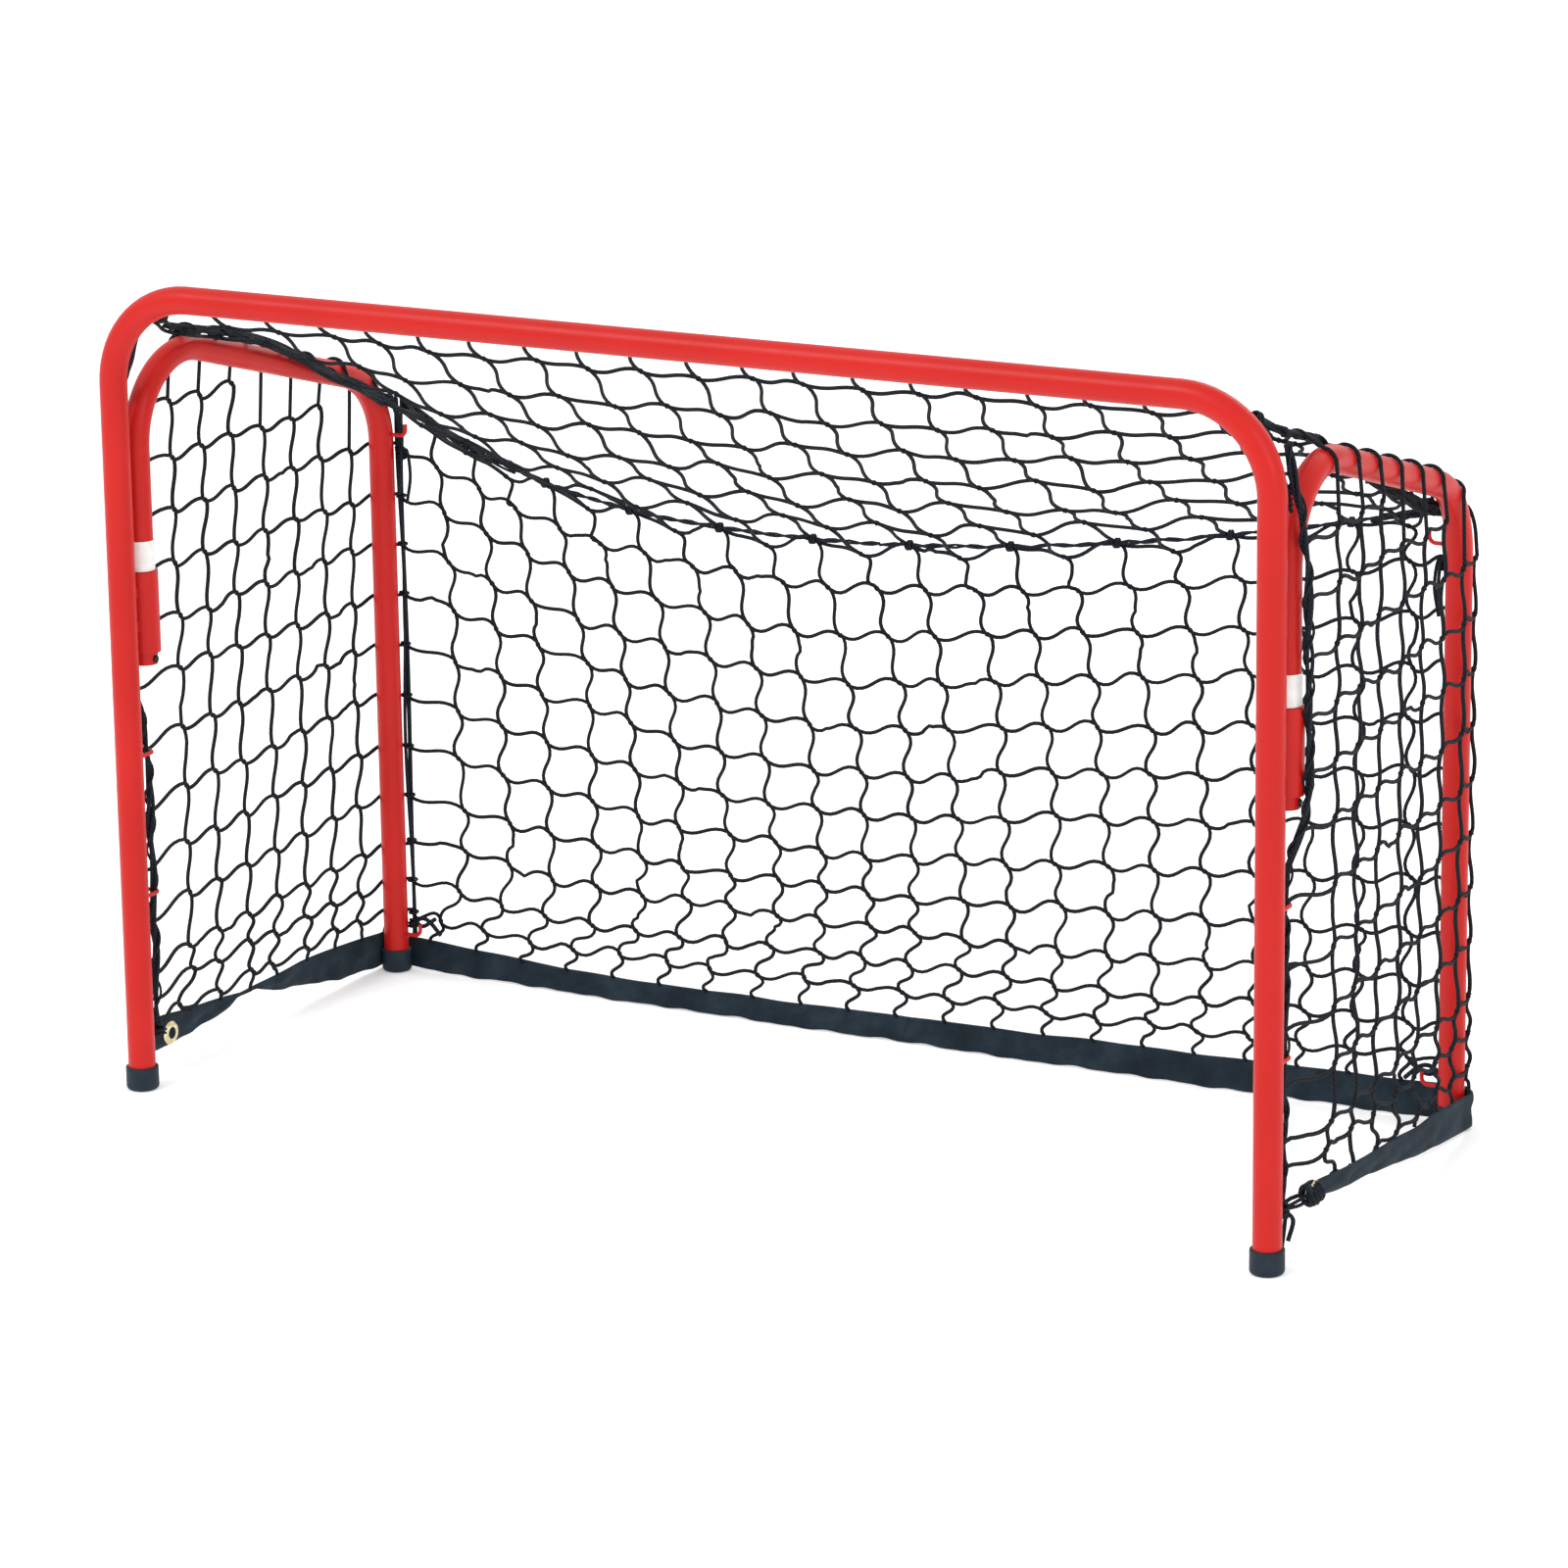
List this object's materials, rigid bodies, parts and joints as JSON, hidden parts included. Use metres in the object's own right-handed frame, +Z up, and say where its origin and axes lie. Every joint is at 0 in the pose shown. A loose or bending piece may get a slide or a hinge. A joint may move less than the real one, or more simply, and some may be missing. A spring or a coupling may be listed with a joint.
{
  "type": "floorball goal",
  "caption": "Folding practice goal for floorball and street hockey: bent red steel tube, hinged side frames, knotted black net, fabric hem and plastic feet.",
  "frame": {"origin": "on the floor, under the centre of the goal's bounding box", "axes": "+X from the left post to the right post as seen by a player in front of the goal, +Y from the open mouth back to the rear net, +Z up"},
  "size_m": [0.9372, 0.3652, 0.6],
  "materials": {
    "red_powder_coat": "smooth gloss powder coat",
    "black_plastic": "moulded, satin",
    "net_cord": "knotted twisted polyethylene twine",
    "hem_fabric": "coated woven polyester band",
    "brass": "pressed and polished",
    "black_steel": "black oxide",
    "white_tape": "plain satin tape"
  },
  "bodies": {
    "root": {"front_frame": "red_powder_coat", "crossbar_hooks": "red_powder_coat", "crossbar_rope": "net_cord", "net_top": "net_cord", "net_back": "net_cord", "hem_back": "hem_fabric", "rear_rope": "net_cord", "foot_front_left": "black_plastic", "hinge_sleeve_left": "red_powder_coat", "sleeve_tabs_left": "red_powder_coat", "post_hooks_left": "red_powder_coat", "post_rope_left": "net_cord", "base_tie_left": "net_cord", "foot_front_right": "black_plastic", "hinge_sleeve_right": "red_powder_coat", "sleeve_tabs_right": "red_powder_coat", "post_hooks_right": "red_powder_coat", "post_rope_right": "net_cord", "base_tie_right": "net_cord"},
    "side_left": {"side_frame_left": "red_powder_coat", "foot_rear_left": "black_plastic", "retaining_pin_left": "black_steel", "marking_band_left": "white_tape", "leg_hooks_left": "red_powder_coat", "net_left": "net_cord", "hem_left": "hem_fabric", "grommet_left": "brass", "side_rope_left": "net_cord", "corner_rope_left": "net_cord", "corner_tie_left": "net_cord"},
    "side_right": {"side_frame_right": "red_powder_coat", "foot_rear_right": "black_plastic", "retaining_pin_right": "black_steel", "marking_band_right": "white_tape", "leg_hooks_right": "red_powder_coat", "net_right": "net_cord", "hem_right": "hem_fabric", "grommet_right": "brass", "side_rope_right": "net_cord", "corner_rope_right": "net_cord", "corner_tie_right": "net_cord"}
  },
  "joints": [
    {"name": "fold_left", "type": "hinge", "parent": "root", "child": "side_left", "pos_m": [-0.45, -0.1456, 0.3], "axis": [0, 0, -1], "range_deg": [0, 88.3]},
    {"name": "fold_right", "type": "hinge", "parent": "root", "child": "side_right", "pos_m": [0.45, -0.1456, 0.3], "axis": [0, 0, 1], "range_deg": [0, 88.3]}
  ]
}
